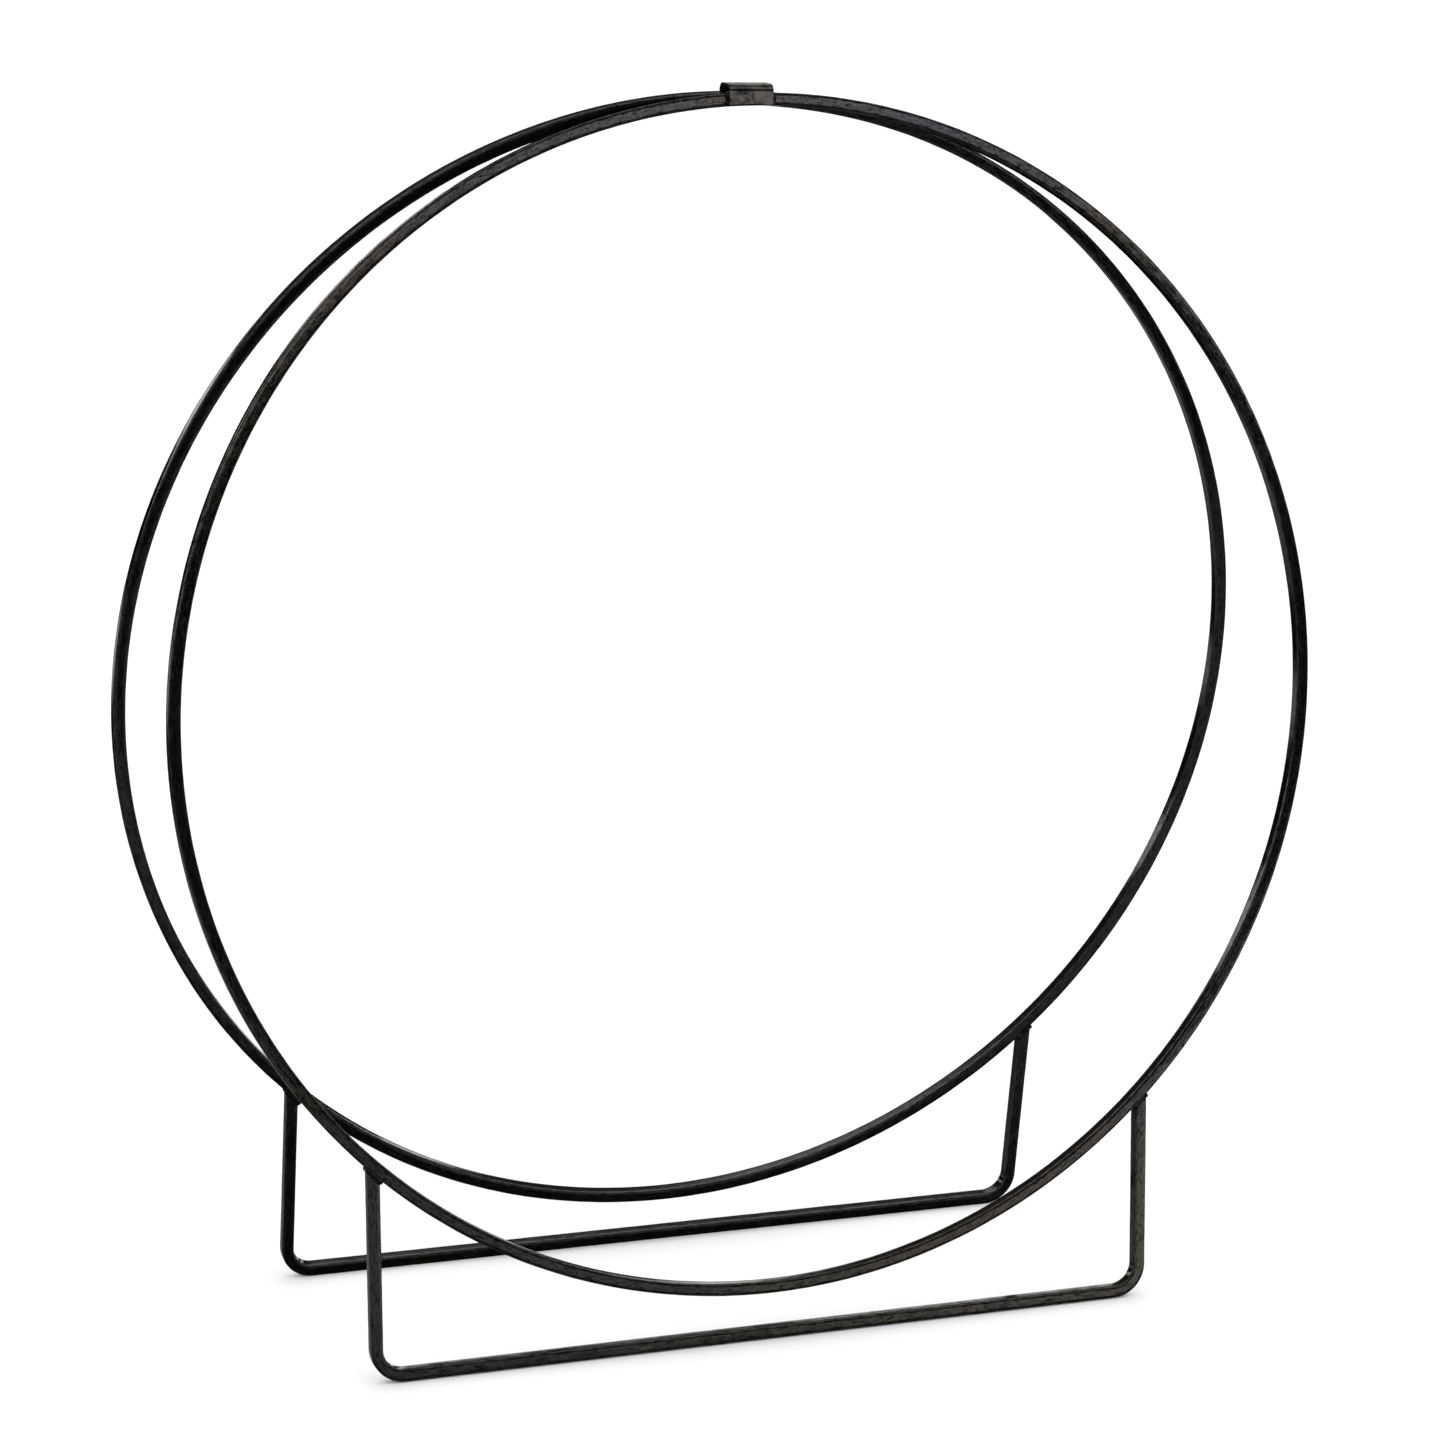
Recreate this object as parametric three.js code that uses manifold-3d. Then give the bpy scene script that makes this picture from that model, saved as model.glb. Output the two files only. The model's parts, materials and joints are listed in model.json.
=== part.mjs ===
// A firewood log rack: two round hoops of square steel bar, each welded onto a bent floor frame.
// The two hoop frames lean together as an A. A folded sheet-steel clip, welded to the front hoop,
// saddles both hoops at the top, and the rear frame folds against the front one inside it.
//
// Millimetres, +Z up, +X to the right seen from the front, and the front frame on the -Y side.
// The origin is on the floor under the middle of the rack.

import * as THREE from "three";
import { mergeVertices } from "three/addons/utils/BufferGeometryUtils.js";
import Module from "manifold-3d";

// The bar and its edges
const barSize = 12.7; // half-inch square steel bar
const edgeChamfer = 1; // the worn, rolled edges of the bar
const touchingGap = 0.3; // air kept between pieces that touch

// One hoop frame, measured in its own leaning plane
const hoopDiameter = 1219.2; // outside
const hoopClearance = 48.3; // from the underside of the floor bar to the bottom of the hoop
const legSpacing = 837; // centre to centre
const cornerRadius = 28.5; // centreline of the bent corners

// How the two frames stand
const leanDegrees = 6.2; // each frame, from upright
const sidewaysStagger = 27; // how far the rear hoop sits to the left of the front one

// The folded clip on top
const clipLength = 46;
const clipOffset = -4.5; // from the rack's middle to the clip's, along X
const clipSheet = 2.5;
const clipBendRadius = 6.75; // centreline of the two folds
const clipRise = 9.5; // from the hinge line up to the roof
const clipFlangeDrop = 13.8; // length of the flanges below the folds

// The weld beads
const legBeadRadius = 3.4;
const clipBeadRadius = 2.6;
const beadSinkage = 0.7; // how far a bead's centre line lies under the surface it sits on

// Smoothness
const hoopSegments = 60; // for each half turn
const cornerSegments = 5; // for each fold or bend

// Worked out from the above
const half = barSize / 2;
const hoopRadius = hoopDiameter / 2 - half;
const hoopCentre = hoopClearance + hoopDiameter / 2;
const hoopTop = hoopCentre + hoopDiameter / 2;
const legOffset = legSpacing / 2;
const lean = THREE.MathUtils.degToRad(leanDegrees);
const hingeHeight = hoopTop * Math.cos(lean) - half * Math.sin(lean);
const floorLift = (half - edgeChamfer) * Math.sin(lean); // brings the floor bars' lowest edge to Z 0
const frameReach = touchingGap / 2 + half * Math.cos(lean) + hoopTop * Math.sin(lean);

const wasm = await Module();
wasm.setup();

// Materials, one for each finish
const blackPaint = new THREE.MeshStandardMaterial({ color: 0x232323, roughness: 0.42, metalness: 0.55 });
const clipPaint = new THREE.MeshStandardMaterial({ color: 0x2c2a2a, roughness: 0.36, metalness: 0.6 });
const weldPaint = new THREE.MeshStandardMaterial({ color: 0x1c1b1b, roughness: 0.5, metalness: 0.5 });

/** A closed geometry as a solid that can be joined and cut. */
function toSolid(geometry) {
  const bare = geometry.clone();
  bare.deleteAttribute("normal");
  bare.deleteAttribute("uv");
  const merged = mergeVertices(bare, 1e-4);
  const vertProperties = Float32Array.from(merged.attributes.position.array);
  const triVerts = Uint32Array.from(merged.index.array);
  return new wasm.Manifold(new wasm.Mesh({ numProp: 3, vertProperties, triVerts }));
}

/** A joined or cut solid as a geometry again. */
function toGeometry(solid) {
  const { vertProperties, triVerts } = solid.getMesh();
  const geometry = new THREE.BufferGeometry();
  geometry.setAttribute("position", new THREE.BufferAttribute(vertProperties, 3));
  geometry.setIndex(new THREE.BufferAttribute(triVerts, 1));
  geometry.computeVertexNormals();
  return geometry;
}

/** A flat outline given the bar's thickness, centred on its own plane, with chamfered edges. */
function barFromOutline(outline, thickness, curveSegments) {
  const geometry = new THREE.ExtrudeGeometry(outline, {
    depth: thickness - 2 * edgeChamfer,
    curveSegments,
    bevelThickness: edgeChamfer,
    bevelSize: edgeChamfer,
    bevelOffset: -edgeChamfer,
    bevelSegments: 1,
  });
  return geometry.translate(0, 0, edgeChamfer - thickness / 2);
}

/** The hoop: square bar rolled into a ring. swell makes the larger copy that cuts the weld beads. */
function hoopGeometry(swell = 0) {
  const outline = new THREE.Shape();
  outline.absarc(0, hoopCentre, hoopRadius + half + swell, 0, 2 * Math.PI);
  const hole = new THREE.Path();
  hole.absarc(0, hoopCentre, hoopRadius - half - swell, 0, 2 * Math.PI);
  outline.holes.push(hole);
  return barFromOutline(outline, barSize + 2 * swell, hoopSegments);
}

/** Height of the underside of the hoop above the floor bar's underside, at a distance from the middle. */
function hoopUnderside(across) {
  return hoopCentre - Math.sqrt((hoopRadius + half) ** 2 - across ** 2);
}

/** The floor frame: one bar bent into a wide U, its leg tops cut to lie under the hoop. */
function baseGeometry(swell = 0) {
  const outer = legOffset + half + swell;
  const inner = legOffset - half - swell;
  const floorBottom = -swell;
  const floorTop = barSize + swell;
  const outerBend = cornerRadius + half + swell;
  const innerBend = cornerRadius - half - swell;
  const bendAcross = legOffset - cornerRadius;
  const bendHeight = half + cornerRadius;
  const outerTop = hoopUnderside(outer) - touchingGap + swell;
  const innerTop = hoopUnderside(inner) - touchingGap + swell;
  const outline = new THREE.Shape();
  outline.moveTo(-bendAcross, floorBottom);
  outline.lineTo(bendAcross, floorBottom);
  outline.absarc(bendAcross, bendHeight, outerBend, -Math.PI / 2, 0);
  outline.lineTo(outer, outerTop);
  outline.lineTo(inner, innerTop);
  outline.absarc(bendAcross, bendHeight, innerBend, 0, -Math.PI / 2, true);
  outline.lineTo(-bendAcross, floorTop);
  outline.absarc(-bendAcross, bendHeight, innerBend, -Math.PI / 2, -Math.PI, true);
  outline.lineTo(-inner, innerTop);
  outline.lineTo(-outer, outerTop);
  outline.absarc(-bendAcross, bendHeight, outerBend, Math.PI, 1.5 * Math.PI);
  return barFromOutline(outline, barSize + 2 * swell, cornerSegments);
}

/** Half of the clip's section: the centre of its fold, in the plane across the rack. */
function clipFold() {
  const down = clipRise - clipSheet / 2 - clipBendRadius;
  const faceDistance = barSize + touchingGap / 2 + touchingGap + clipSheet / 2;
  const across = (faceDistance - clipBendRadius - down * Math.sin(lean)) / Math.cos(lean);
  return new THREE.Vector2(across, down);
}

/** The clip: a sheet folded into a saddle with a flat roof and two flanges that splay with the frames. */
function clipGeometry(swell = 0) {
  const fold = clipFold();
  const outerBend = clipBendRadius + clipSheet / 2 + swell;
  const innerBend = clipBendRadius - clipSheet / 2 - swell;
  const flange = clipFlangeDrop + swell;
  const alongFlange = new THREE.Vector2(Math.sin(lean), -Math.cos(lean));
  const outward = new THREE.Vector2(Math.cos(lean), Math.sin(lean));
  const outerEnd = fold.clone().addScaledVector(outward, outerBend).addScaledVector(alongFlange, flange);
  const innerEnd = fold.clone().addScaledVector(outward, innerBend).addScaledVector(alongFlange, flange);
  const outline = new THREE.Shape();
  outline.moveTo(outerEnd.x, outerEnd.y);
  outline.absarc(fold.x, fold.y, outerBend, lean, Math.PI / 2);
  outline.absarc(-fold.x, fold.y, outerBend, Math.PI / 2, Math.PI - lean);
  outline.lineTo(-outerEnd.x, outerEnd.y);
  outline.lineTo(-innerEnd.x, innerEnd.y);
  outline.absarc(-fold.x, fold.y, innerBend, Math.PI - lean, Math.PI / 2, true);
  outline.absarc(fold.x, fold.y, innerBend, Math.PI / 2, lean, true);
  outline.lineTo(innerEnd.x, innerEnd.y);
  const length = clipLength + 2 * swell;
  const geometry = new THREE.ExtrudeGeometry(outline, {
    depth: length,
    curveSegments: cornerSegments,
    bevelEnabled: false,
  });
  return geometry.translate(0, 0, -length / 2);
}

/** A row of overlapping blobs, as a welder lays them, with the neighbouring steel cut away. */
function beadGeometry(centres, radius, neighbours) {
  let bead = null;
  centres.forEach((centre, index) => {
    const blobRadius = radius * (1 + 0.08 * Math.sin(2.3 * index));
    const blob = new THREE.SphereGeometry(blobRadius, 8, 6).translate(centre.x, centre.y, centre.z);
    const solid = toSolid(blob);
    bead = bead ? bead.add(solid) : solid;
  });
  return toGeometry(neighbours.reduce((left, steel) => left.subtract(steel), bead));
}

/** The blobs around the square outline of a leg top, just under the hoop. side is 1 or -1. */
function legBeadCentres(side) {
  const reach = half - beadSinkage;
  const steps = 3;
  const centres = [];
  for (let face = 0; face < 4; face += 1) {
    for (let step = 0; step < steps; step += 1) {
      const point = new THREE.Vector2(reach, reach - (2 * reach * step) / steps);
      point.rotateAround(new THREE.Vector2(), (-face * Math.PI) / 2);
      const across = legOffset + point.x;
      centres.push(new THREE.Vector3(side * across, hoopUnderside(across) - beadSinkage, point.y));
    }
  }
  return centres;
}

/** The blobs down one end of the clip's front flange, on the outer face of the front hoop. */
function clipBeadCentres(across) {
  const rows = 4;
  const centres = [];
  for (let row = 0; row < rows; row += 1) {
    const height = hoopTop - half + (barSize - 4) * (row / (rows - 1) - 0.5);
    centres.push(new THREE.Vector3(across, height, half + touchingGap + beadSinkage));
  }
  return centres;
}

/** A named piece of the rack. */
function piece(name, geometry, material) {
  const mesh = new THREE.Mesh(geometry, material);
  mesh.name = name;
  return mesh;
}

const swollenHoop = toSolid(hoopGeometry(touchingGap));
const swollenBase = toSolid(baseGeometry(touchingGap));

/** One leaning hoop frame. beadNames gives the name of the weld on each side of the frame's own middle. */
function hoopFrame(name, beadNames) {
  const frame = new THREE.Group();
  frame.add(piece(`${name}_hoop`, hoopGeometry(), blackPaint));
  frame.add(piece(`${name}_base_frame`, baseGeometry(), blackPaint));
  for (const [side, beadName] of beadNames) {
    const bead = beadGeometry(legBeadCentres(side), legBeadRadius, [swollenHoop, swollenBase]);
    frame.add(piece(beadName, bead, weldPaint));
  }
  frame.position.set(sidewaysStagger / 2, -frameReach, floorLift);
  frame.rotation.x = Math.PI / 2 - lean;
  return frame;
}

/** The clip, over the line where the two hoops meet. */
function topClip() {
  const clip = piece("top_clip", clipGeometry(), clipPaint);
  const across = new THREE.Vector3(0, 1, 0);
  const up = new THREE.Vector3(0, 0, 1);
  const along = new THREE.Vector3(1, 0, 0);
  clip.quaternion.setFromRotationMatrix(new THREE.Matrix4().makeBasis(across, up, along));
  clip.position.set(clipOffset, 0, floorLift + hingeHeight);
  return clip;
}

const rack = new THREE.Group();
const frontFrame = hoopFrame("front", [[-1, "front_left_weld"], [1, "front_right_weld"]]);
const rearFrame = new THREE.Group();
rearFrame.add(hoopFrame("rear", [[1, "rear_left_weld"], [-1, "rear_right_weld"]]));
rearFrame.rotation.z = Math.PI;
const clip = topClip();
rack.add(frontFrame, rearFrame, clip);

// The clip's two weld beads belong to the front frame, so they are cut in that frame's own plane.
rack.updateMatrixWorld(true);
const clipInFrame = clipGeometry(touchingGap).applyMatrix4(clip.matrixWorld);
clipInFrame.applyMatrix4(frontFrame.matrixWorld.clone().invert());
const swollenClip = toSolid(clipInFrame);
for (const [side, name] of [[-1, "clip_left_weld"], [1, "clip_right_weld"]]) {
  const across = side * (clipLength / 2 + clipBeadRadius / 2) + clipOffset - sidewaysStagger / 2;
  const bead = beadGeometry(clipBeadCentres(across), clipBeadRadius, [swollenHoop, swollenClip]);
  frontFrame.add(piece(name, bead, weldPaint));
}

export default rack;
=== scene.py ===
"""Looks of a firewood rack: two leaning hoops of square bar on bent floor frames, under a folded clip."""

import json
import logging
import math
from dataclasses import dataclass, field
from enum import Enum
from typing import Callable

import bmesh
import bpy
from mathutils import Matrix, Vector, noise


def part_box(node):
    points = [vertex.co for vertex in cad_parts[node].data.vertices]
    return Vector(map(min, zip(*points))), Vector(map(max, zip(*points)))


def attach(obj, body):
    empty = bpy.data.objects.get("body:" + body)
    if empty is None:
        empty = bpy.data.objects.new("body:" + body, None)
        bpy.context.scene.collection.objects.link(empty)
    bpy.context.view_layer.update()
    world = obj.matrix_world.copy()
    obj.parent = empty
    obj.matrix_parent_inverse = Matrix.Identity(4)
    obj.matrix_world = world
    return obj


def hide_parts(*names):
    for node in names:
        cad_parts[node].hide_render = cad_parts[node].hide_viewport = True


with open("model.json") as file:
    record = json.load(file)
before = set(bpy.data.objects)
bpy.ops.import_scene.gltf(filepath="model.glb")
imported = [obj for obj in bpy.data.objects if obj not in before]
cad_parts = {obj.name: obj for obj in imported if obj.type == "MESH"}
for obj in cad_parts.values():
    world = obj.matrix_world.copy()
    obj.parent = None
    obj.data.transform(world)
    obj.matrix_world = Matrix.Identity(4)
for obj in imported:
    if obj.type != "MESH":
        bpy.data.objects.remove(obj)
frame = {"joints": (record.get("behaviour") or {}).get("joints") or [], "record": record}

log = logging.getLogger("firewood_rack")

MM = 0.001
BAR = 12.7 * MM  # square bar, side to side
HALF = BAR / 2
EDGE_RADIUS = 1.3 * MM  # the rolled edges of the bar
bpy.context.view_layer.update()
GRAIN = "grain"  # where a point lies along its bar (x, z) and around its section (third number)
EDGE = "edge"  # 1 on the rounded edges of a bar, 0 on its flats
SQUARE_TO_FRAME = Vector((0.0, 1.0, 0.0))  # local Y, which the bars bend about
ALONG_CLIP = Vector((1.0, 0.0, 0.0))  # X, which the clip is folded about
FINE_HOLLOWS = 95.0  # to the metre, in the faces of the bars
BROAD_HOLLOWS = 28.0

Element = bmesh.types.BMVert | bmesh.types.BMEdge | bmesh.types.BMFace
Colour = tuple[float, float, float]
Blob = tuple[Vector, float]
Socket = bpy.types.NodeSocket


class Side(Enum):
    """Which side of a frame's own middle a leg stands on."""

    MINUS = -1
    PLUS = 1


# --------------------------------------------------------------------------- places


@dataclass(frozen=True)
class FramePlane:
    """The leaning plane of one hoop frame. Local X runs across, Y into the rack and Z up the frame.

    Args:
        name: the frame's name, which starts its pieces' names.
        matrix: turns and moves local places, in metres, to the rack's own frame.
        hoop_radius: to the centreline of the hoop bar.
        hoop_centre: height of the hoop's centre up the plane.
    """

    name: str
    matrix: Matrix
    hoop_radius: float
    hoop_centre: float

    @classmethod
    def read(cls, name: str) -> "FramePlane":
        """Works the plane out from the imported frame.

        Args:
            name: front or rear.

        Returns:
            The plane on which that frame's pieces are made.
        """
        mounts = {mount["name"]: mount for mount in frame["record"]["mounts"]}
        floor_face = mounts[f"{name}_floor_face"]
        up = -Vector(floor_face["axis"]).normalized()
        turned = 1.0 if name == "front" else -1.0
        across = Vector((turned, 0.0, 0.0))
        inward = up.cross(across)
        matrix = Matrix((across, inward, up)).transposed().to_4x4()
        matrix.translation = Vector(floor_face["pos_m"])
        low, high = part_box(f"{name}_hoop")
        middle = (low.z + high.z) / 2
        centre = (middle - matrix.translation.z) / up.z
        return cls(name, matrix, (high.x - low.x) / 2 - HALF, centre)

    def hoop_underside(self, across: float) -> float:
        """Height of the hoop's underside at a distance across from the middle."""
        return self.hoop_centre - math.sqrt((self.hoop_radius + HALF) ** 2 - across**2)


# --------------------------------------------------------------------------- mesh helpers


def rounded_square(bm: bmesh.types.BMesh, cuts: int) -> list[Element]:
    """Draws the bar's section as a closed loop in the XY plane, centred on the origin.

    Args:
        bm: the mesh to draw in.
        cuts: how many points stand along each flat.

    Returns:
        The loop's vertices and edges.
    """
    bmesh.ops.create_grid(bm, x_segments=1, y_segments=1, size=HALF)
    bmesh.ops.bevel(bm, geom=list(bm.verts), offset=EDGE_RADIUS, affect="VERTICES", segments=4,
                    profile=0.5, material=-1, offset_type="OFFSET")
    bmesh.ops.delete(bm, geom=list(bm.faces), context="FACES_ONLY")
    flats = [edge for edge in bm.edges if edge.calc_length() > 2 * EDGE_RADIUS]
    bmesh.ops.subdivide_edges(bm, edges=flats, cuts=cuts)
    return [*bm.verts, *bm.edges]


def run_straight(bm: bmesh.types.BMesh, loop: list[Element], reach: Vector, steps: int) -> list[Element]:
    """Draws a section along a straight line.

    Args:
        bm: the mesh.
        loop: the section's vertices and edges.
        reach: the whole way to go.
        steps: how many rings of faces to leave behind.

    Returns:
        The section at the far end.
    """
    made = bmesh.ops.spin(bm, geom=loop, cent=Vector(), axis=SQUARE_TO_FRAME, dvec=reach / steps,
                          angle=0.0, steps=steps, use_merge=False, use_duplicate=False)
    return made["geom_last"]


def run_bend(bm: bmesh.types.BMesh, loop: list[Element], centre: Vector, angle: float,
             steps: int) -> list[Element]:
    """Turns a section about a bend's centre, about the local Y axis.

    Args:
        bm: the mesh.
        loop: the section's vertices and edges.
        centre: the bend's centre.
        angle: how far to turn, in radians.
        steps: how many rings of faces to leave behind.

    Returns:
        The section at the far end.
    """
    made = bmesh.ops.spin(bm, geom=loop, cent=centre, axis=SQUARE_TO_FRAME, dvec=Vector(), angle=angle,
                          steps=steps, use_merge=False, use_duplicate=False)
    return made["geom_last"]


def around_section(radial: float, depth: float) -> float:
    """Distance around the bar's section, with its jump at one of the hidden inner edges."""
    angle = math.atan2(depth, radial) - 0.75 * math.pi
    return (angle % (2 * math.pi)) / (math.pi / 4) * HALF


def write_bar_attributes(mesh: bpy.types.Mesh, place: Callable[[Vector], tuple[Vector, float]]) -> None:
    """Stores where each point lies along and around its bar, and how near it is to a rolled edge.

    Args:
        mesh: the bar's mesh, in its frame's own plane.
        place: gives a point's nearest centreline point and its distance outwards from it.
    """
    mesh.attributes.new(GRAIN, "FLOAT_VECTOR", "POINT")
    mesh.attributes.new(EDGE, "FLOAT", "POINT")
    grain = mesh.attributes[GRAIN]
    edge = mesh.attributes[EDGE]
    flat = HALF - EDGE_RADIUS
    for index, vertex in enumerate(mesh.vertices):
        centre, radial = place(vertex.co)
        around = around_section(radial, vertex.co.y)
        grain.data[index].vector = (centre.x, centre.z, around)
        outside = min(abs(radial) - flat, abs(vertex.co.y) - flat) / EDGE_RADIUS
        edge.data[index].value = max(0.0, min(1.0, outside * 2.0 + 0.35))


def dent(mesh: bpy.types.Mesh, depth: float, seed: float) -> None:
    """Presses the shallow, uneven hollows of rolled and hammered bar into a mesh that has its grain.

    Args:
        mesh: the bar's mesh.
        depth: the deepest hollow.
        seed: keeps one bar's hollows unlike another's.
    """
    grain = mesh.attributes[GRAIN].data
    offset = Vector((seed * 3.1, -seed * 1.7, seed))
    moved = []
    for index, vertex in enumerate(mesh.vertices):
        where = Vector(grain[index].vector)
        fine = noise.noise(where * FINE_HOLLOWS + offset)
        broad = noise.noise(where * BROAD_HOLLOWS - offset)
        moved.append(vertex.co - vertex.normal * depth * max(0.0, 0.45 + 0.65 * fine + 0.5 * broad))
    for vertex, place in zip(mesh.vertices, moved):
        vertex.co = place


def finish_piece(bm: bmesh.types.BMesh, name: str, matrix: Matrix) -> bpy.types.Object:
    """Makes an object of a finished bmesh, with its place in its mesh.

    Args:
        bm: the mesh, which is freed.
        name: the piece's name.
        matrix: takes the mesh to the rack's own frame.

    Returns:
        The new object, at the origin.
    """
    bmesh.ops.remove_doubles(bm, verts=list(bm.verts), dist=1e-6)
    bmesh.ops.recalc_face_normals(bm, faces=list(bm.faces))
    mesh = bpy.data.meshes.new(name)
    bm.to_mesh(mesh)
    bm.free()
    piece = bpy.data.objects.new(name, mesh)
    bpy.context.scene.collection.objects.link(piece)
    mesh.transform(matrix)
    mesh.shade_smooth()
    return piece


# --------------------------------------------------------------------------- finishes


class Nodes:
    """A short way to lay out a tree of nodes."""

    def __init__(self, tree: bpy.types.NodeTree) -> None:
        """Empties the tree."""
        self.tree = tree
        self.tree.nodes.clear()

    def add(self, kind: str) -> bpy.types.Node:
        """A new node."""
        return self.tree.nodes.new(kind)

    def link(self, source: Socket, target: Socket) -> None:
        """Joins two sockets."""
        self.tree.links.new(source, target)

    def remap(self, value: Socket, given: tuple[float, float], wanted: tuple[float, float]) -> Socket:
        """Takes one range of a number to another, and holds it at both ends.

        Args:
            value: the number.
            given: the range it comes in.
            wanted: the range it leaves in.

        Returns:
            The mapped number.
        """
        node = self.add("ShaderNodeMapRange")
        node.inputs["From Min"].default_value = given[0]
        node.inputs["From Max"].default_value = given[1]
        node.inputs["To Min"].default_value = wanted[0]
        node.inputs["To Max"].default_value = wanted[1]
        self.link(value, node.inputs["Value"])
        return node.outputs["Result"]


class PaintNodes(Nodes):
    """The nodes of one material, with a shader to link them to."""

    def __init__(self, material: bpy.types.Material) -> None:
        """Starts the material again with a bare shader.

        Args:
            material: the material to fill.
        """
        material.use_nodes = True
        super().__init__(material.node_tree)
        output = self.add("ShaderNodeOutputMaterial")
        self.shader = self.add("ShaderNodeBsdfPrincipled")
        self.link(self.shader.outputs["BSDF"], output.inputs["Surface"])

    def coordinates(self) -> Socket:
        """Places on the piece, in metres."""
        return self.add("ShaderNodeTexCoord").outputs["Object"]

    def attribute(self, name: str, output: str) -> Socket:
        """Reads a stored attribute.

        Args:
            name: the attribute's name.
            output: Vector or Fac.

        Returns:
            Its value.
        """
        node = self.add("ShaderNodeAttribute")
        node.attribute_name = name
        return node.outputs[output]

    def stretch(self, vector: Socket, scale: tuple[float, float, float]) -> Socket:
        """Scales a vector along its axes.

        Args:
            vector: the vector.
            scale: by how much along each axis.

        Returns:
            The scaled vector.
        """
        node = self.add("ShaderNodeMapping")
        node.inputs["Scale"].default_value = scale
        self.link(vector, node.inputs["Vector"])
        return node.outputs["Vector"]

    def noise(self, vector: Socket, scale: float, detail: float, roughness: float = 0.55) -> Socket:
        """Soft noise.

        Args:
            vector: where to read it.
            scale: cells to the metre.
            detail: how many finer layers it has.
            roughness: how strong the finer layers are.

        Returns:
            A number about 0.5.
        """
        node = self.add("ShaderNodeTexNoise")
        node.inputs["Scale"].default_value = scale
        node.inputs["Detail"].default_value = detail
        node.inputs["Roughness"].default_value = roughness
        self.link(vector, node.inputs["Vector"])
        return node.outputs["Fac"]

    def combine(self, operation: str, first: Socket, second: "Socket | float") -> Socket:
        """Works out a sum or product.

        Args:
            operation: ADD or MULTIPLY.
            first: a number's socket.
            second: another, or a plain number.

        Returns:
            The result.
        """
        node = self.add("ShaderNodeMath")
        node.operation = operation
        self.link(first, node.inputs[0])
        if isinstance(second, float):
            node.inputs[1].default_value = second
        else:
            self.link(second, node.inputs[1])
        return node.outputs["Value"]

    def blend(self, amount: Socket, first: "Colour | Socket",
              second: "Colour | Socket") -> Socket:
        """Fades from one colour to another.

        Args:
            amount: 0 for the first colour and 1 for the second.
            first: a colour or a socket that gives one.
            second: the other.

        Returns:
            The blended colour.
        """
        node = self.add("ShaderNodeMix")
        node.data_type = "RGBA"
        self.link(amount, node.inputs["Factor"])
        for name, colour in (("A", first), ("B", second)):
            socket = next(s for s in node.inputs if s.name == name and s.type == "RGBA")
            if isinstance(colour, tuple):
                socket.default_value = (*colour, 1.0)
            else:
                self.link(colour, socket)
        return next(s for s in node.outputs if s.type == "RGBA")

    def bump(self, height: Socket, strength: float, distance: float,
             under: "Socket | None" = None) -> Socket:
        """Tilts the surface by a height.

        Args:
            height: the height.
            strength: how much of it shows.
            distance: the height of 1, in metres.
            under: another bump to add it to.

        Returns:
            The tilted normal.
        """
        node = self.add("ShaderNodeBump")
        node.inputs["Strength"].default_value = strength
        node.inputs["Distance"].default_value = distance
        self.link(height, node.inputs["Height"])
        if under is not None:
            self.link(under, node.inputs["Normal"])
        return node.outputs["Normal"]


FULL = (0.0, 1.0)
SOFT_CUT = (0.38, 0.62)  # the middle of a noise, which is all that shows of it
COOL_SHEEN = (0.92, 0.87, 0.98)
WARM_SHEEN = (1.0, 0.92, 0.80)


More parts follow.
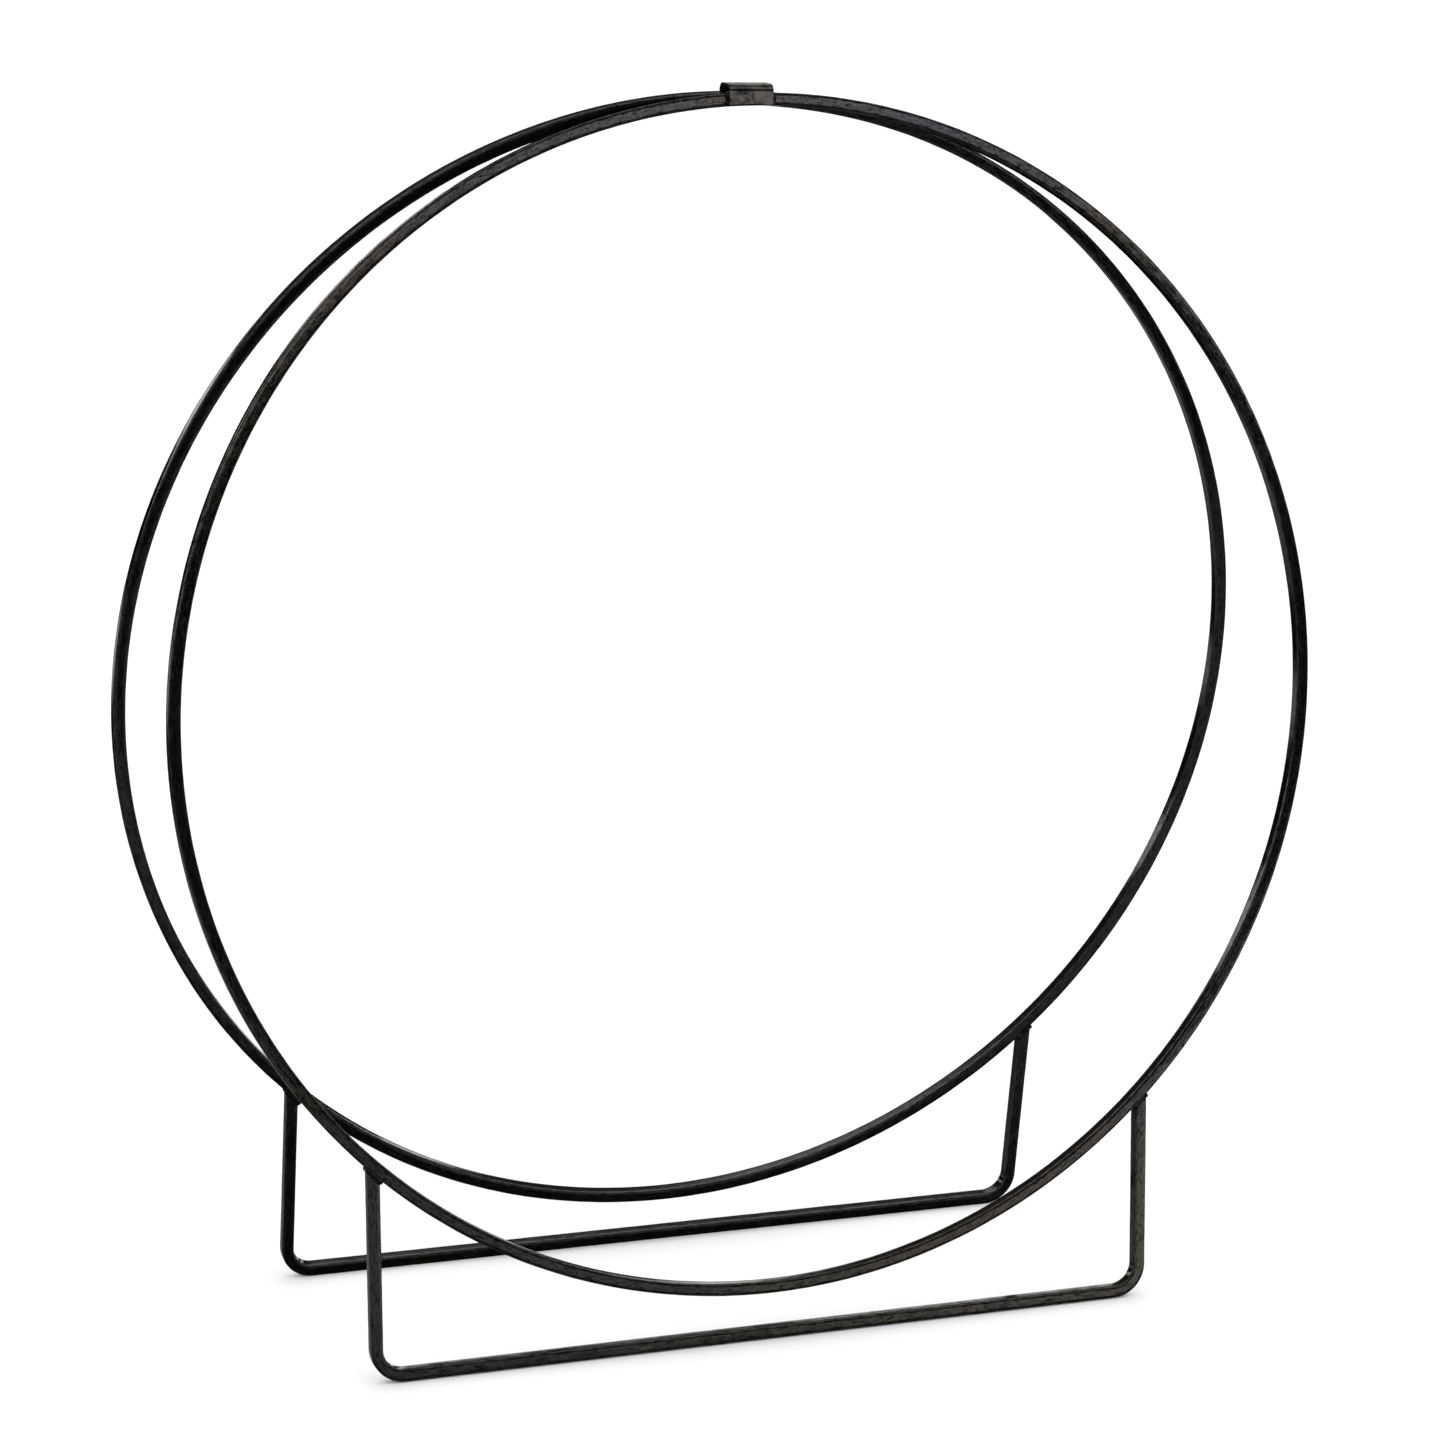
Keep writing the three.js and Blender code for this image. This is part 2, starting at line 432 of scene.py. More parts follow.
@dataclass(frozen=True)
class BlackPaint:
    """Black paint on steel bar: satin, faintly streaked along the bar, mottled, with pale specks and a
    painted highlight along the rolled edges.

    Args:
        name: the material's name.
        slot: the record's material slot; not used.
        dark: the paint where it lies thick.
        pale: the paint where it is rubbed or dusty.
        speck_and_edge_highlight: the colour of the pale specks, and of the painted highlight along the
            rolled edges.
        smoothest: roughness of the thick patches.
        roughest: roughness of the thin patches.
        dullest: how much light the deadest patches throw back.
        shiniest: how much light the liveliest patches throw back.
        peel: height of the fine texture in the paint.
        pits: height of the coarser unevenness in the steel under it.
        streaked: whether the surface stores its grain.
        streak_cells: streaks to the metre along a bar.
        streak_stretch: how many times longer than wide a streak is.
        blotch_cells: blotches to the metre.
        zone_cells: broad browner and bluer zones to the metre.
        speck_cells: specks to the metre.
        edge_highlight_cells: patches of the painted edge highlight to the metre.
        pit_cells: uneven spots in the steel to the metre.
        peel_cells: cells of the fine texture to the metre.
    """

    name: str
    slot: str
    dark: Colour = (0.0006, 0.0006, 0.0006)
    pale: Colour = (0.0032, 0.0027, 0.0026)
    # colour of the pale specks, and of the painted highlight along the rolled edges
    speck_and_edge_highlight: Colour = (0.016, 0.0148, 0.014)
    smoothest: float = 0.08
    roughest: float = 0.18
    dullest: float = 0.06
    shiniest: float = 0.86
    peel: float = 0.010 * MM
    pits: float = 0.10 * MM
    streaked: bool = True
    streak_cells: float = 120.0
    streak_stretch: float = 5.0
    blotch_cells: float = 420.0
    zone_cells: float = 3.3
    speck_cells: float = 700.0
    edge_highlight_cells: float = 60.0
    pit_cells: float = 130.0
    peel_cells: float = 1100.0

    def build(self) -> bpy.types.Material:
        """Makes the material.

        Returns:
            The material.
        """
        material = bpy.data.materials.new(self.name)
        nodes = PaintNodes(material)
        place = nodes.coordinates()
        along = place
        if self.streaked:
            along = nodes.stretch(nodes.attribute(GRAIN, "Vector"), (1.0, 1.0, self.streak_stretch))
        streaks = nodes.remap(nodes.noise(along, self.streak_cells, 5.0, 0.68), SOFT_CUT, FULL)
        blotches = nodes.remap(nodes.noise(place, self.blotch_cells, 4.0, 0.7), SOFT_CUT, FULL)
        zones = nodes.remap(nodes.noise(place, self.zone_cells, 1.0), SOFT_CUT, FULL)
        mottle = nodes.combine("ADD", nodes.combine("MULTIPLY", streaks, 0.6),
                               nodes.combine("MULTIPLY", blotches, 0.4))
        nodes.link(self.build_colour(nodes, place, along, mottle, zones), nodes.shader.inputs["Base Color"])
        nodes.link(nodes.remap(mottle, FULL, (self.smoothest, self.roughest)),
                   nodes.shader.inputs["Roughness"])
        nodes.link(nodes.remap(mottle, (0.12, 0.72), (self.dullest, self.shiniest)),
                   nodes.shader.inputs["Specular IOR Level"])
        nodes.link(nodes.blend(zones, COOL_SHEEN, WARM_SHEEN), nodes.shader.inputs["Specular Tint"])
        pits = nodes.bump(nodes.noise(place, self.pit_cells, 3.0), 0.5, self.pits)
        peel = nodes.bump(nodes.noise(place, self.peel_cells, 2.0), 0.5, self.peel, pits)
        nodes.link(peel, nodes.shader.inputs["Normal"])
        nodes.shader.inputs["Metallic"].default_value = 0.0
        nodes.shader.inputs["IOR"].default_value = 1.5
        return material

    def build_colour(self, nodes: PaintNodes, place: Socket, along: Socket, mottle: Socket,
                     zones: Socket) -> Socket:
        """Lays the paint's colour: thick and thin patches, pale specks and a painted highlight along the
        rolled edges.

        Args:
            nodes: the material's nodes.
            place: places on the piece.
            along: places along and around the bar.
            mottle: 0 on thick paint and 1 on thin.
            zones: 0 in the bluer stretches and 1 in the browner ones.

        Returns:
            The colour.
        """
        colour = nodes.blend(nodes.combine("MULTIPLY", mottle, mottle), self.dark, self.pale)
        specks = nodes.remap(nodes.noise(place, self.speck_cells, 2.0), (0.58, 0.70), (0.0, 0.5))
        colour = nodes.blend(nodes.combine("MULTIPLY", specks, zones), colour, self.speck_and_edge_highlight)
        if self.streaked:
            # painted highlight: the rolled edges are lightened, in patches along the bar
            edge_highlight_patches = nodes.remap(nodes.noise(along, self.edge_highlight_cells, 3.0), (0.42, 0.60), (0.2, 1.0))
            edge = nodes.combine("MULTIPLY", nodes.attribute(EDGE, "Fac"), edge_highlight_patches)
            colour = nodes.blend(edge, colour, self.speck_and_edge_highlight)
        return colour

    def dress(self, piece: bpy.types.Object) -> None:
        """Paints a piece.

        Args:
            piece: the piece to paint.
        """
        piece.data.materials.clear()
        piece.data.materials.append(bpy.data.materials.get(self.name) or self.build())


BAR_PAINT = BlackPaint("satin_bar_black", "bar_paint")
CLIP_PAINT = BlackPaint("satin_clip_black", "clip_paint", pale=(0.006, 0.0048, 0.0048),
                        smoothest=0.06, roughest=0.14, dullest=0.10, shiniest=0.80, streaked=False)
WELD_PAINT = BlackPaint("rough_weld_black", "weld_paint", pale=(0.004, 0.0035, 0.0033), smoothest=0.2,
                        roughest=0.4, shiniest=0.35, pits=0.4 * MM, streaked=False)


# --------------------------------------------------------------------------- pieces


@dataclass
class Hoop:
    """One bar rolled into a ring.

    Args:
        plane: the frame it belongs to.
        steps: rings of faces round it.
        flat_cuts: points along each flat of its section.
        dent_depth: the deepest hollow in its faces.
        seed: sets its hollows.
    """

    plane: FramePlane
    steps: int = 720
    flat_cuts: int = 3
    dent_depth: float = 0.16 * MM
    seed: float = 1.0

    def place(self, point: Vector) -> tuple[Vector, float]:
        """Finds the nearest point of the centreline.

        Args:
            point: a point on the bar.

        Returns:
            The nearest point, and how far outside it the point lies.
        """
        centre = Vector((0.0, 0.0, self.plane.hoop_centre))
        out = Vector((point.x, 0.0, point.z)) - centre
        return centre + out.normalized() * self.plane.hoop_radius, out.length - self.plane.hoop_radius

    def build(self) -> bpy.types.Object:
        """Spins the section into the ring.

        Returns:
            The hoop.
        """
        bm = bmesh.new()
        loop = rounded_square(bm, self.flat_cuts)
        centre = Vector((0.0, 0.0, self.plane.hoop_centre))
        start = Vector((self.plane.hoop_radius, 0.0, self.plane.hoop_centre))
        bmesh.ops.translate(bm, verts=list(bm.verts), vec=start)
        bmesh.ops.spin(bm, geom=loop, cent=centre, axis=SQUARE_TO_FRAME, dvec=Vector(), angle=2 * math.pi,
                       steps=self.steps, use_merge=True, use_duplicate=False)
        hoop = finish_piece(bm, f"{self.plane.name}_hoop_bar", Matrix())
        write_bar_attributes(hoop.data, self.place)
        dent(hoop.data, self.dent_depth, self.seed)
        hoop.data.transform(self.plane.matrix)
        BAR_PAINT.dress(hoop)
        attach(hoop, f"{self.plane.name}_frame")
        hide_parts(f"{self.plane.name}_hoop")
        return hoop


@dataclass
class FloorFrame:
    """One bar bent into a wide U that the hoop stands on.

    Args:
        plane: the frame it belongs to.
        leg_offset: from the middle to each leg's centreline.
        corner_radius: centreline of the bends.
        bend_steps: rings of faces in each bend.
        ring_spacing: length of the rings along the straights.
        weld_bite: how far the legs reach up past the underside of the hoop, into the weld.
        spare: length of leg left above the cut before it is trimmed.
        flat_cuts: points along each flat of its section.
        dent_depth: the deepest hollow in its faces.
        seed: sets its hollows.
    """

    plane: FramePlane
    leg_offset: float = 418.5 * MM
    corner_radius: float = 28.5 * MM
    bend_steps: int = 20
    ring_spacing: float = 5.0 * MM
    weld_bite: float = 0.2 * MM
    spare: float = 6 * MM
    flat_cuts: int = 3
    dent_depth: float = 0.16 * MM
    seed: float = 5.0

    def leg_top(self, across: float) -> float:
        """Height at which a leg stops, just inside the weld."""
        return self.plane.hoop_underside(across) + self.weld_bite

    def place(self, point: Vector) -> tuple[Vector, float]:
        """Finds the nearest point of the centreline.

        Args:
            point: a point on the bar.

        Returns:
            The nearest point, and how far outside the U the point lies.
        """
        side = math.copysign(1.0, point.x)
        across = abs(point.x)
        bend_across = self.leg_offset - self.corner_radius
        bend_height = HALF + self.corner_radius
        if across > bend_across and point.z < bend_height:
            centre = Vector((bend_across, 0.0, bend_height))
            out = Vector((across, 0.0, point.z)) - centre
            nearest = centre + out.normalized() * self.corner_radius
            return Vector((side * nearest.x, 0.0, nearest.z)), out.length - self.corner_radius
        if point.z >= bend_height and across > bend_across:
            return Vector((side * self.leg_offset, 0.0, point.z)), across - self.leg_offset
        return Vector((point.x, 0.0, HALF)), HALF - point.z

    def trim_leg(self, bm: bmesh.types.BMesh, side: Side) -> None:
        """Cuts one leg's top to the slope of the hoop above it.

        Args:
            bm: the U's mesh.
            side: which leg.
        """
        inner = self.leg_offset - HALF
        outer = self.leg_offset + HALF
        low = Vector((side.value * inner, 0.0, self.leg_top(inner)))
        high = Vector((side.value * outer, 0.0, self.leg_top(outer)))
        slope = (high - low).normalized()
        normal = Vector((-slope.z, 0.0, slope.x)) * side.value
        leg = [item for item in [*bm.verts, *bm.edges, *bm.faces] if self.beside(item, side)]
        cut = bmesh.ops.bisect_plane(bm, geom=leg, plane_co=low, plane_no=normal, clear_outer=True)
        edges = [item for item in cut["geom_cut"] if isinstance(item, bmesh.types.BMEdge)]
        bmesh.ops.holes_fill(bm, edges=edges, sides=0)

    def beside(self, item: Element, side: Side) -> bool:
        """Whether a vertex, edge or face is on one leg."""
        points = [item] if isinstance(item, bmesh.types.BMVert) else item.verts
        return all(point.co.x * side.value > self.leg_offset - self.corner_radius for point in points)

    def build(self) -> bpy.types.Object:
        """Runs the section down one leg, along the floor and up the other leg.

        Returns:
            The floor frame.
        """
        bm = bmesh.new()
        loop = rounded_square(bm, self.flat_cuts)
        leg_end = self.leg_top(self.leg_offset + HALF) + self.spare
        bend_height = HALF + self.corner_radius
        bend_across = self.leg_offset - self.corner_radius
        bmesh.ops.translate(bm, verts=list(bm.verts), vec=Vector((-self.leg_offset, 0.0, leg_end)))
        leg = leg_end - bend_height
        leg_steps = round(leg / self.ring_spacing)
        floor_steps = round(2 * bend_across / self.ring_spacing)
        quarter = math.pi / 2
        loop = run_straight(bm, loop, Vector((0, 0, -leg)), leg_steps)
        loop = run_bend(bm, loop, Vector((-bend_across, 0, bend_height)), -quarter, self.bend_steps)
        loop = run_straight(bm, loop, Vector((2 * bend_across, 0, 0)), floor_steps)
        loop = run_bend(bm, loop, Vector((bend_across, 0, bend_height)), -quarter, self.bend_steps)
        run_straight(bm, loop, Vector((0, 0, leg)), leg_steps)
        for side in Side:
            self.trim_leg(bm, side)
        base = finish_piece(bm, f"{self.plane.name}_base_bar", Matrix())
        write_bar_attributes(base.data, self.place)
        dent(base.data, self.dent_depth, self.seed)
        base.data.transform(self.plane.matrix)
        BAR_PAINT.dress(base)
        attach(base, f"{self.plane.name}_frame")
        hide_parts(f"{self.plane.name}_base_frame")
        return base


@dataclass
class Bead:
    """A weld bead: overlapping blobs of metal run together.

    Args:
        name: the piece's name.
        node: the CAD node it stands for.
        body: the body it rides on.
        matrix: takes its blobs to the rack's own frame.
        blobs: a place and a radius for each blob.
        voxel: how finely the blobs are run together.
        melt: how far each round of smoothing goes.
        melt_rounds: rounds of smoothing.
        lump_height: of the roughness left on the bead.
        lump_cells: lumps to the metre.
        fine_cells: finer lumps to the metre.
    """

    name: str
    node: str
    body: str
    matrix: Matrix
    blobs: list[Blob]
    voxel: float = 0.35 * MM
    melt: float = 0.6
    melt_rounds: int = 6
    lump_height: float = 0.22 * MM
    lump_cells: float = 420.0
    fine_cells: float = 900.0

    def build(self) -> bpy.types.Object:
        """Runs the blobs together and roughens them.

        Returns:
            The bead.
        """
        bm = bmesh.new()
        for centre, radius in self.blobs:
            bmesh.ops.create_icosphere(bm, subdivisions=3, radius=radius, matrix=Matrix.Translation(centre))
        mesh = bpy.data.meshes.new(self.name)
        bm.to_mesh(mesh)
        bm.free()
        bead = bpy.data.objects.new(self.name, mesh)
        bpy.context.scene.collection.objects.link(bead)
        remesh = bead.modifiers.new("run_together", "REMESH")
        remesh.mode = "VOXEL"
        remesh.voxel_size = self.voxel
        smooth = bead.modifiers.new("melt", "SMOOTH")
        smooth.factor = self.melt
        smooth.iterations = self.melt_rounds
        depsgraph = bpy.context.evaluated_depsgraph_get()
        melted = bpy.data.meshes.new_from_object(bead.evaluated_get(depsgraph))
        bead.modifiers.clear()
        bead.data = melted
        melted.name = self.name
        moved = []
        for vertex in melted.vertices:
            coarse = noise.noise(vertex.co * self.lump_cells)
            lump = coarse + 0.5 * noise.noise(vertex.co * self.fine_cells)
            moved.append(vertex.co + vertex.normal * self.lump_height * lump)
        for vertex, place in zip(melted.vertices, moved):
            vertex.co = place
        melted.transform(self.matrix)
        melted.shade_smooth()
        WELD_PAINT.dress(bead)
        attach(bead, self.body)
        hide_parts(self.node)
        return bead


@dataclass
class LegWelds:
    """The beads around the tops of one frame's two legs.

    Args:
        base: the floor frame whose legs they hold.
        radius: of an ordinary blob.
        row: steps along each face of a leg, each with its blob.
        inset: how far the row's ends stay inside the bar.
        wander: how far a blob may stray up or down.
        sink: how far below the hoop's underside the blobs at the front and back sit.
        side_sink: the same for those at the sides.
        inner_swell: how much bigger the blobs under the hoop's belly are.
        outer_swell: the same for those outside the leg.
    """

    base: FloorFrame
    radius: float = 2.3 * MM
    row: int = 6
    inset: float = 0.5 * MM
    wander: float = 1.2 * MM
    sink: float = 1.0 * MM
    side_sink: float = 1.2 * MM
    inner_swell: float = 1.75
    outer_swell: float = 0.95

    def blobs(self, side: Side) -> list[Blob]:
        """Lays the blobs along the sloping joint, on all four faces of a leg.

        Args:
            side: which leg.

        Returns:
            Each blob's centre and radius.
        """
        plane = self.base.plane
        reach = HALF - self.inset
        blobs = []
        for step in range(self.row + 1):
            along = 2 * step / self.row - 1
            across = self.base.leg_offset + along * reach
            lift = plane.hoop_underside(across) - self.sink
            for face in (-1, 1):
                wobble = noise.noise(Vector((step * 1.7, face * 3.1, side.value * 5.3)))
                centre = Vector((side.value * across, face * reach, lift + wobble * self.wander))
                blobs.append((centre, self.radius * (1.0 + 0.25 * wobble)))
            for face in (-1, 1):
                out = self.base.leg_offset + face * (reach + 0.2 * MM)
                swell = self.inner_swell if face < 0 else self.outer_swell
                lift = plane.hoop_underside(out) - self.side_sink
                centre = Vector((side.value * out, along * reach * 0.8, lift))
                blobs.append((centre, self.radius * swell))
        return blobs

    def build(self) -> list[bpy.types.Object]:
        """Makes the two beads, named for the side they are on as seen from the front.

        Returns:
            The beads.
        """
        plane = self.base.plane
        beads = []
        for side in Side:
            world = (plane.matrix @ Vector((side.value * self.base.leg_offset, 0.0, 0.0))).x
            hand = "left" if world < 0 else "right"
            name = f"{plane.name}_{hand}_leg_weld"
            node = f"{plane.name}_{hand}_weld"
            beads.append(Bead(name, node, f"{plane.name}_frame", plane.matrix, self.blobs(side)).build())
        return beads


@dataclass
class Clip:
    """The folded sheet-steel saddle over the tops of both hoops, and the two beads that hold it.

    Args:
        plane: the front frame, which it is welded to.
        sheet: its thickness.
        fold_radius: centreline of the two folds.
        flange: length of the flanges below the folds.
        play: gap between the rear bar and the rear flange.
        relief: how much the flanges are cut up in the middle, to follow the hoops.
        cut_edge: radius of the rounded cut edges.
        fold_steps: facets in each fold.
        flange_steps: facets down each flange.
        rows: strips along its length.
        bead_radius: of a blob of its beads.
        bead_blobs: blobs in each bead.
        bead_spacing: from one blob to the next, down the flange.
        bead_drop: from the top of the hoop to the first blob.
        bead_gap: from the clip's end to the blobs.
        bead_proud: how far the blobs stand out from the bar.
        bead_wander: how far a blob may stray sideways.
        half_length: half the clip's length.
        middle: its middle, across the rack.
        roof: height of its top.
        lean: of the frames, and so of its flanges.
    """

    plane: FramePlane
    sheet: float = 2.5 * MM
    fold_radius: float = 6.75 * MM
    flange: float = 13.8 * MM
    play: float = 0.45 * MM
    relief: float = 1.5 * MM
    cut_edge: float = 0.5 * MM
    fold_steps: int = 12
    flange_steps: int = 6
    rows: int = 24
    bead_radius: float = 2.2 * MM
    bead_blobs: int = 5
    bead_spacing: float = 2.3 * MM
    bead_drop: float = 1.8 * MM
    bead_gap: float = 1.1 * MM
    bead_proud: float = 0.4 * MM
    bead_wander: float = 0.8 * MM
    half_length: float = field(init=False)
    middle: float = field(init=False)
    roof: float = field(init=False)
    lean: float = field(init=False)

    def __post_init__(self) -> None:
        """Reads the clip's length, height and splay off the frame."""
        low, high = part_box("top_clip")
        self.half_length = (high.x - low.x) / 2
        self.middle = (high.x + low.x) / 2
        self.roof = high.z
        self.lean = math.acos(self.plane.matrix.col[2].z)

    def fold_centre(self) -> Vector:
        """Works out where the rear fold bends.

        Returns:
            The bend's centre, in the rack's own frame.
        """
        hinge = Vector(frame["joints"][0]["pos_m"])
        up = self.roof - self.sheet / 2 - self.fold_radius
        face = BAR + self.play + self.sheet / 2 - self.fold_radius
        across = (face - (up - hinge.z) * math.sin(self.lean)) / math.cos(self.lean)
        return Vector((0.0, across, up))

    def build(self) -> bpy.types.Object:
        """Draws half of the section, mirrors it, runs it along and gives it its thickness.

        Returns:
            The clip.
        """
        bm = bmesh.new()
        self.draw_section(bm)
        step = Vector((2 * self.half_length / self.rows, 0.0, 0.0))
        bmesh.ops.spin(bm, geom=[*bm.verts, *bm.edges], cent=Vector(), axis=ALONG_CLIP, dvec=step,
                       angle=0.0, steps=self.rows, use_merge=False, use_duplicate=False)
        self.shape_flanges(bm)
        clip = finish_piece(bm, "top_clip_saddle", Matrix.Translation((self.middle, 0.0, 0.0)))
        self.thicken(clip)
        CLIP_PAINT.dress(clip)
        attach(clip, "front_frame")
        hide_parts("top_clip")
        return clip

    def draw_section(self, bm: bmesh.types.BMesh) -> None:
        """Draws the middle of the sheet at one end of the clip: roof, two folds and two flanges.

        Args:
            bm: the mesh to draw in.
        """
        fold = self.fold_centre()
        roof = self.roof - self.sheet / 2
        start = bm.verts.new(Vector((-self.half_length, 0.0, roof)))
        first = bm.verts.new(Vector((-self.half_length, fold.y, roof)))
        flat = bm.edges.new((start, first))
        turn = math.pi / 2 - self.lean
        made = bmesh.ops.spin(bm, geom=[first], cent=Vector((-self.half_length, fold.y, fold.z)),
                              axis=ALONG_CLIP, dvec=Vector(), angle=-turn, steps=self.fold_steps,
                              use_merge=False, use_duplicate=False)
        last = [item for item in made["geom_last"] if isinstance(item, bmesh.types.BMVert)][0]
        down = Vector((0.0, math.sin(self.lean), -math.cos(self.lean))) * self.flange
        bmesh.ops.spin(bm, geom=[last], cent=Vector(), axis=ALONG_CLIP, dvec=down / self.flange_steps,
                       angle=0.0, steps=self.flange_steps, use_merge=False, use_duplicate=False)
        bmesh.ops.subdivide_edges(bm, edges=[flat], cuts=3)
        bmesh.ops.mirror(bm, geom=[*bm.verts, *bm.edges], axis="Y", merge_dist=1e-6)
        bmesh.ops.remove_doubles(bm, verts=list(bm.verts), dist=1e-6)

    def shape_flanges(self, bm: bmesh.types.BMesh) -> None:
        """Relieves the flanges' lower edges so that they follow the curve of the hoops.

        Args:
            bm: the clip's sheet.
        """
        fold = self.fold_centre()
        reach = self.flange * math.cos(self.lean)
        for vertex in bm.verts:
            below = (fold.z - vertex.co.z) / reach
            if below > 0.0:
                middle = 1.0 - (vertex.co.x / self.half_length) ** 2
                vertex.co.z += self.relief * middle * below**2

    def thicken(self, clip: bpy.types.Object) -> None:
        """Gives the sheet its thickness, rounds its cut edges and keeps its flats flat.

        Args:
            clip: the sheet.
        """
        solid = clip.modifiers.new("sheet", "SOLIDIFY")
        solid.thickness = self.sheet
        solid.offset = 0.0
        solid.use_even_offset = True
        bevel = clip.modifiers.new("deburred", "BEVEL")
        bevel.width = self.cut_edge
        bevel.segments = 3
        bevel.limit_method = "ANGLE"
        bevel.angle_limit = math.radians(50)
        flats = clip.modifiers.new("flat_faces", "WEIGHTED_NORMAL")
        flats.weight = 80
        flats.keep_sharp = False

    def build_beads(self) -> list[bpy.types.Object]:
        """Makes the two short beads at the ends of the front flange.

        Returns:
            The beads.
        """
        to_frame = self.plane.matrix.inverted()
        top = self.plane.hoop_centre + self.plane.hoop_radius + HALF
        beads = []
        for hand, side in (("left", -1), ("right", 1)):
            blobs = []
            end = to_frame @ Vector((self.middle + side * (self.half_length + self.bead_gap), 0.0, 0.0))
            for step in range(self.bead_blobs):
                wobble = noise.noise(Vector((step * 2.3, side * 4.1, 7.7)))
                height = top - self.bead_drop - step * self.bead_spacing
                centre = Vector((end.x + side * wobble * self.bead_wander, -HALF - self.bead_proud, height))
                blobs.append((centre, self.bead_radius * (1.0 + 0.3 * wobble)))
            name = f"clip_{hand}_bead"
            beads.append(Bead(name, f"clip_{hand}_weld", "front_frame", self.plane.matrix, blobs).build())
        return beads


# --------------------------------------------------------------------------- studio


# level banks of light, as elevations in degrees with their strengths, faded from each to the next
LOW_BANK = ((-90, 0.0), (-14, 0.0), (-12, 1.55), (-9, 1.45), (-7, 0.0))  # stronger to the right
OTHER_BANKS = ((-90, 0.0), (-31.5, 0.0), (-29.5, 0.5), (-26, 0.3), (-22, 0.25), (-18, 0.0), (4.3, 0.0),
               (5.8, 2.0), (10, 2.0), (12.5, 0.0), (33, 0.12), (45, 1.5), (60, 1.5), (72, 0.1), (90, 0.1))


class RoomNodes(Nodes):
    """The nodes of the room's light."""

    def add_bands(self, height: Socket, bands: tuple[tuple[float, float], ...]) -> Socket:
        """Adds level banks of light.

        Args:
            height: of the direction looked in, from 0 straight down to 1 straight up.
            bands: elevations in degrees, each with its strength.

        Returns:
            The strength of the light that comes from there.
        """
        ramp = self.add("ShaderNodeValToRGB")
        self.link(height, ramp.inputs["Fac"])
        stops = [((1 + math.sin(math.radians(angle))) / 2, strength) for angle, strength in bands]
        elements = ramp.color_ramp.elements
        elements[0].position = stops[0][0]
        elements[1].position = stops[-1][0]
        for position, _ in stops[1:-1]:
            elements.new(position)
        for element, (_, strength) in zip(elements, stops):
            element.color = (strength, strength, strength, 1.0)
        return ramp.outputs["Color"]


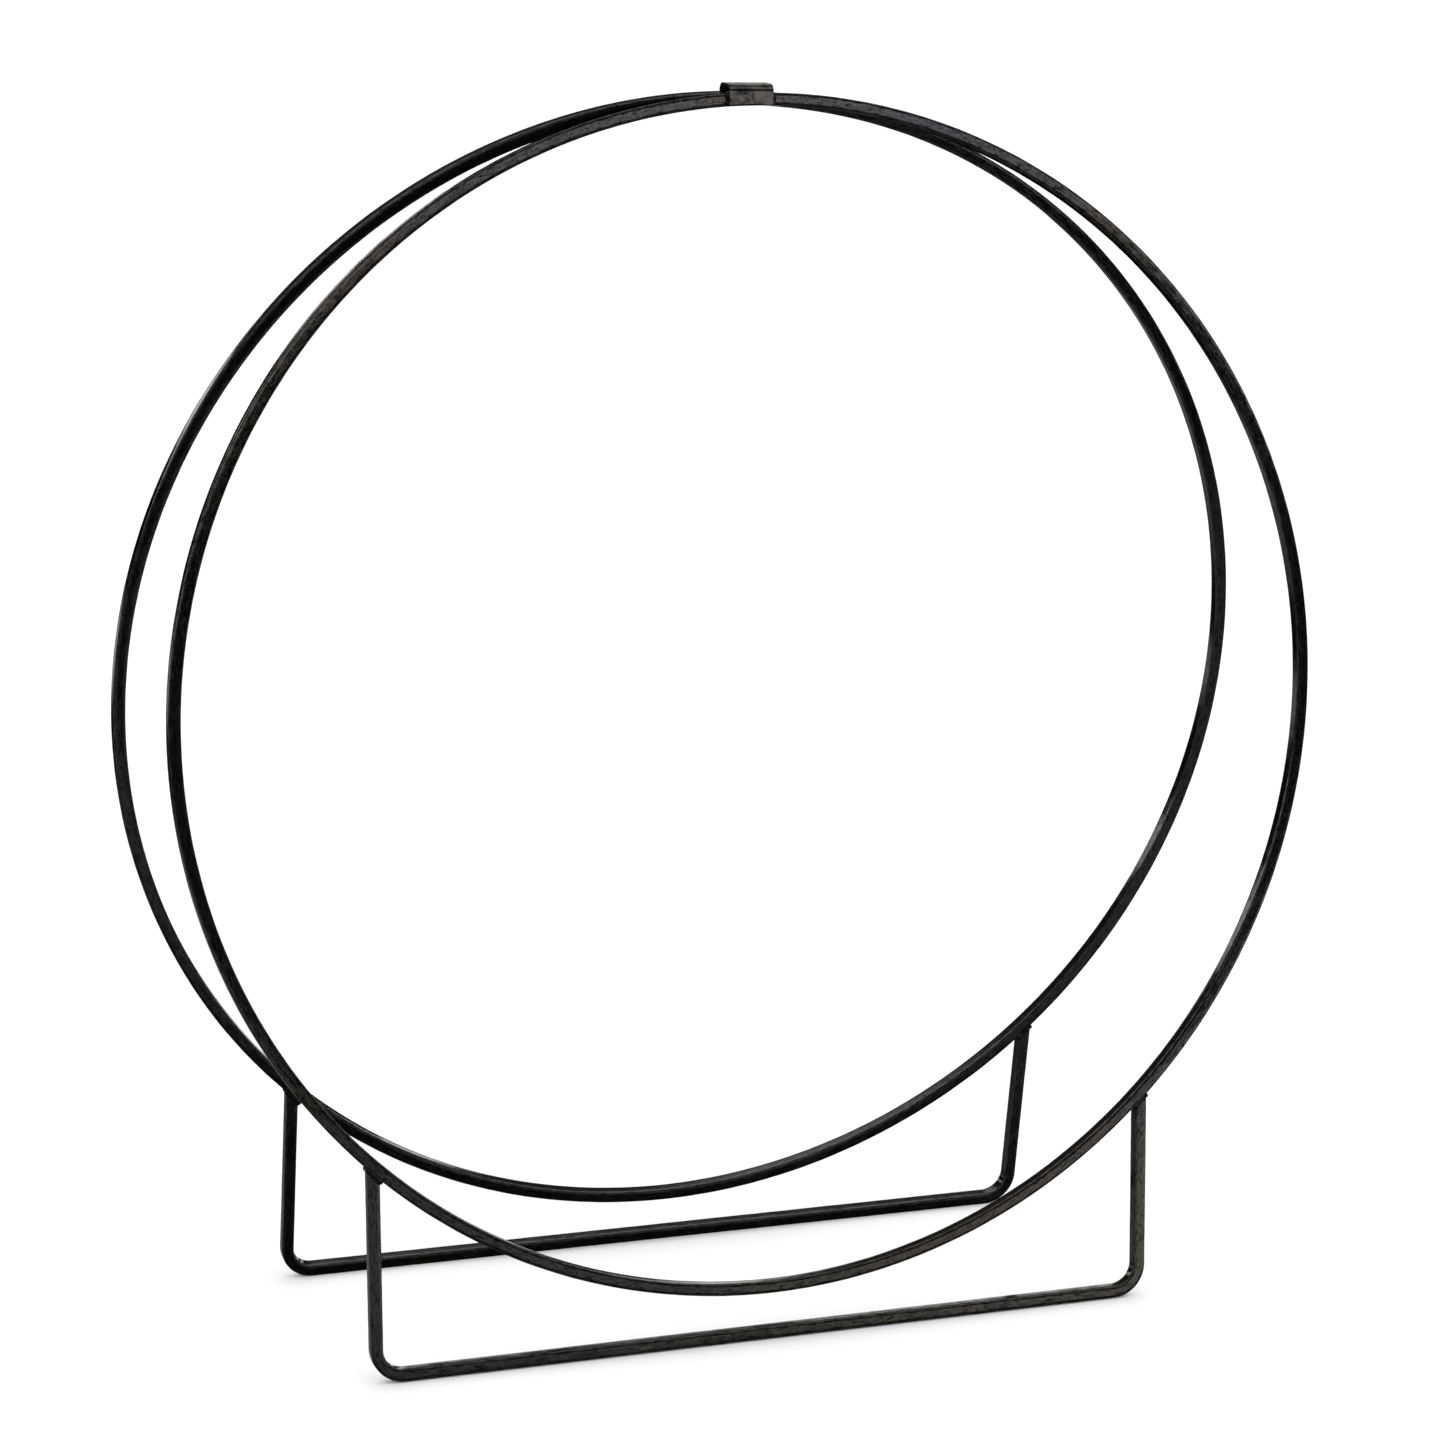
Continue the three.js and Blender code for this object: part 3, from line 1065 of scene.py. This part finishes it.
@dataclass
class Studio:
    """A plain pale floor, soft light all round and a camera at a standing person's height.

    Args:
        floor_size: half the floor's width.
        floor_colour: of the floor.
        brightness: of the even white light.
        lens: of the camera, in millimetres on a 36 mm sensor.
        azimuth: where the camera stands, from straight in front, to the left when negative.
        elevation: of the camera above the point it looks at.
        distance: from that point.
        roll: tilt of the camera.
        target: the point it looks at.
    """

    floor_size: float = 40.0
    floor_colour: Colour = (0.86, 0.86, 0.86)
    brightness: float = 1.34
    lens: float = 88.33
    azimuth: float = math.radians(-19.95)
    elevation: float = math.radians(14.1)
    distance: float = 3.639
    roll: float = math.radians(1.8)
    target: tuple[float, float, float] = (-0.00886, 0.0, 0.6215)

    def build_floor(self) -> bpy.types.Object:
        """Lays the floor, which the paint doesn't mirror.

        Returns:
            The floor.
        """
        bm = bmesh.new()
        bmesh.ops.create_grid(bm, x_segments=1, y_segments=1, size=self.floor_size)
        mesh = bpy.data.meshes.new("studio_floor")
        bm.to_mesh(mesh)
        bm.free()
        floor = bpy.data.objects.new("studio_floor", mesh)
        bpy.context.scene.collection.objects.link(floor)
        material = bpy.data.materials.new("pale_floor")
        nodes = PaintNodes(material)
        nodes.shader.inputs["Base Color"].default_value = (*self.floor_colour, 1.0)
        nodes.shader.inputs["Roughness"].default_value = 0.9
        nodes.shader.inputs["Specular IOR Level"].default_value = 0.1
        mesh.materials.append(material)
        floor.visible_glossy = False
        return floor

    def build_world(self) -> None:
        """Lights the room: even white for the eye and the floor, and soft banks of light in the paint."""
        world = bpy.data.worlds.new("soft_room")
        bpy.context.scene.world = world
        world.use_nodes = True
        world.cycles.sampling_method = "NONE"
        nodes = RoomNodes(world.node_tree)
        even = nodes.add("ShaderNodeBackground")
        even.inputs["Color"].default_value = (1.0, 1.0, 1.0, 1.0)
        even.inputs["Strength"].default_value = self.brightness
        banks = nodes.add("ShaderNodeBackground")
        split = nodes.add("ShaderNodeSeparateXYZ")
        nodes.link(nodes.add("ShaderNodeTexCoord").outputs["Generated"], split.inputs["Vector"])
        height = nodes.remap(split.outputs["Z"], (-1.0, 1.0), FULL)
        rightward = nodes.remap(split.outputs["X"], (0.24, 0.42), (0.45, 1.15))
        total = nodes.add("ShaderNodeVectorMath")
        total.operation = "MULTIPLY_ADD"
        nodes.link(nodes.add_bands(height, LOW_BANK), total.inputs[0])
        nodes.link(rightward, total.inputs[1])
        nodes.link(nodes.add_bands(height, OTHER_BANKS), total.inputs[2])
        nodes.link(total.outputs["Vector"], banks.inputs["Color"])
        mix = nodes.add("ShaderNodeMixShader")
        nodes.link(nodes.add("ShaderNodeLightPath").outputs["Is Glossy Ray"], mix.inputs["Fac"])
        nodes.link(even.outputs["Background"], mix.inputs[1])
        nodes.link(banks.outputs["Background"], mix.inputs[2])
        nodes.link(mix.outputs["Shader"], nodes.add("ShaderNodeOutputWorld").inputs["Surface"])

    def build_camera(self) -> bpy.types.Object:
        """Stands the camera up and makes it the scene's.

        Returns:
            The camera.
        """
        data = bpy.data.cameras.new("camera")
        data.lens = self.lens
        data.sensor_width = 36.0
        data.clip_start = 0.05
        data.clip_end = 200.0
        camera = bpy.data.objects.new("camera", data)
        bpy.context.scene.collection.objects.link(camera)
        back = Vector((math.sin(self.azimuth) * math.cos(self.elevation),
                       -math.cos(self.azimuth) * math.cos(self.elevation), math.sin(self.elevation)))
        camera.rotation_mode = "QUATERNION"
        camera.location = Vector(self.target) + back * self.distance
        level = (-back).to_track_quat("-Z", "Y").to_matrix()
        camera.rotation_quaternion = (level @ Matrix.Rotation(self.roll, 3, "Z")).to_quaternion()
        bpy.context.scene.camera = camera
        return camera

    def build(self) -> None:
        """Builds the floor, the light and the camera."""
        self.build_floor()
        self.build_world()
        self.build_camera()
        bpy.context.scene.view_settings.view_transform = "Standard"


def main() -> None:
    """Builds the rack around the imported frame, piece by piece."""
    Studio().build()
    planes = [FramePlane.read("front"), FramePlane.read("rear")]
    pieces = []
    for number, plane in enumerate(planes):
        base = FloorFrame(plane, seed=5.0 + number)
        pieces.append(Hoop(plane, seed=1.0 + number).build())
        pieces.append(base.build())
        pieces.extend(LegWelds(base).build())
    clip = Clip(planes[0])
    pieces.append(clip.build())
    pieces.extend(clip.build_beads())
    for piece in pieces:
        log.info("%s: %d faces", piece.name, len(piece.data.polygons))


if __name__ == "__main__":
    logging.basicConfig(level=logging.INFO, format="%(message)s")
    main()
